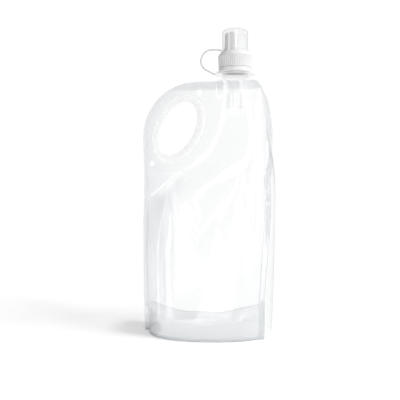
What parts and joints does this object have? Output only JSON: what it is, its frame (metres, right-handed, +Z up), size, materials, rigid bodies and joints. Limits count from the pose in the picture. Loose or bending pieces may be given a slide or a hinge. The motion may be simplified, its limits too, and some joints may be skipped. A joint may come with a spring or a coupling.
{
  "type": "folding water bottle",
  "caption": "Clear stand-up film pouch bottle with an oval grip ring and a screw spout with push-pull cap, tethered clear cover and collapsing walls.",
  "frame": {"origin": "middle of the base, on the surface that it stands on", "axes": "+Z up, +X to the right seen from the front, -Y the front"},
  "size_m": [0.132, 0.0755, 0.2975],
  "materials": {
    "clear_film": "gloss",
    "natural_plastic": "satin",
    "white_plastic": "satin",
    "clear_plastic": "gloss",
    "tether_plastic": "satin",
    "seal_rubber": "matte"
  },
  "bodies": {
    "root": {"spout": "natural_plastic", "bottom_gusset": "clear_film", "handle_ring_front": "white_plastic", "handle_ring_back": "white_plastic", "tamper_band": "white_plastic", "tether_collar": "tether_plastic", "tether_strand": "tether_plastic"},
    "front_wall": {"front_panel": "clear_film"},
    "back_wall": {"back_panel": "clear_film"},
    "cap_carrier": {"cap_seal": "seal_rubber"},
    "cap": {"screw_cap": "white_plastic"},
    "mouthpiece": {"nozzle": "white_plastic"},
    "cover": {"dust_cover": "clear_plastic"}
  },
  "joints": [
    {"name": "front_collapse", "type": "slide", "parent": "root", "child": "front_wall", "axis": [0, 1, 0], "range_m": [0, 0.0325], "deforming": ["front_panel", "back_panel", "bottom_gusset"]},
    {"name": "back_collapse", "type": "slide", "parent": "root", "child": "back_wall", "axis": [0, -1, 0], "range_m": [0, 0.0325]},
    {"name": "cap_lift", "type": "slide", "parent": "root", "child": "cap_carrier", "axis": [0, 0, 1], "range_m": [0, 0.0045], "deforming": ["tether_strand"]},
    {"name": "cap_turn", "type": "hinge", "parent": "cap_carrier", "child": "cap", "pos_m": [0.029, 0, 0.265], "axis": [0, 0, 1], "range_deg": [0, 540]},
    {"name": "nozzle_pull", "type": "slide", "parent": "cap", "child": "mouthpiece", "axis": [0, 0, 1], "range_m": [0, 0.003]},
    {"name": "cover_lift", "type": "slide", "parent": "cap_carrier", "child": "cover", "axis": [0, 0, 1], "range_m": [0, 0.024]}
  ],
  "couplings": [
    {"joint": "back_collapse", "follows": "front_collapse", "ratio": 1},
    {"joint": "cap_lift", "follows": "cap_turn", "m_per_rad": 0.00047746}
  ]
}
